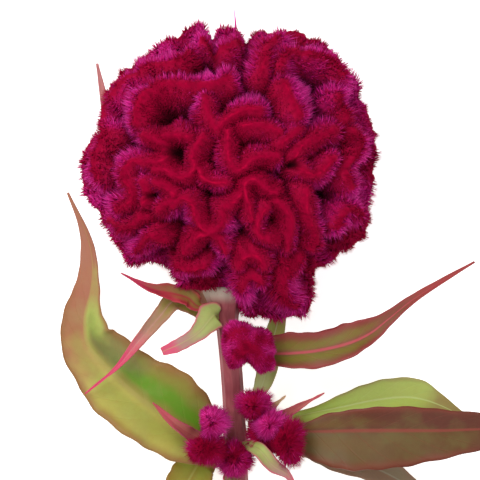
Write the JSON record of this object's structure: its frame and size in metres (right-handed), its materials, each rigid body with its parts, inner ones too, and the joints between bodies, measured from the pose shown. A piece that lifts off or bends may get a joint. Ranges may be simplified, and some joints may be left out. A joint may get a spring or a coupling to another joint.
{
  "type": "cut cockscomb flower",
  "caption": "Cut cockscomb flower lying on its back: a round head of deep velvety folds on a ribbed stem, with waved lance-shaped leaves and small side tufts.",
  "frame": {"origin": "on the floor, at the middle of the small flat spot on the back of the head that the flower rests on", "axes": "+Y runs from the cut end of the stem to the top of the head, +Z up out of the face of the head, +X to the right as the face is seen with +Y up"},
  "size_m": [0.2027, 0.254, 0.0846],
  "materials": {
    "comb_velvet": "velvety florets, crimson with magenta tips",
    "stem": "ribbed pinkish red skin",
    "leaf_green": "soft green leaf with reddish veins and rims",
    "leaf_red_brown": "dull red-brown leaf with a pink midrib",
    "leaf_grey_green": "dull grey-green leaf"
  },
  "bodies": {
    "root": {"crest_head": "comb_velvet", "side_crest_upper": "comb_velvet", "whorl_crest_left": "comb_velvet", "whorl_crest_low_left": "comb_velvet", "whorl_crest_pointed": "comb_velvet", "whorl_crest_bright": "comb_velvet", "whorl_crest_inner": "comb_velvet", "whorl_crest_dark": "comb_velvet", "whorl_crest_middle": "comb_velvet", "main_stem": "stem", "leaf_left_large": "leaf_green", "leaf_left_curled": "leaf_green", "leaf_left_bract": "leaf_green", "leaf_right": "leaf_green", "leaf_right_back": "leaf_green", "leaf_bottom_left": "leaf_green", "leaf_folded_small": "leaf_green", "leaf_pink_rimmed": "leaf_green", "leaf_back_strap": "leaf_green", "leaf_left_hanging": "leaf_red_brown", "leaf_right_large": "leaf_red_brown", "bract_ochre": "leaf_red_brown", "bract_spur": "leaf_red_brown", "bract_spear": "leaf_red_brown", "leaf_behind_head": "leaf_red_brown", "leaf_lower_right": "leaf_grey_green"}
  },
  "joints": []
}
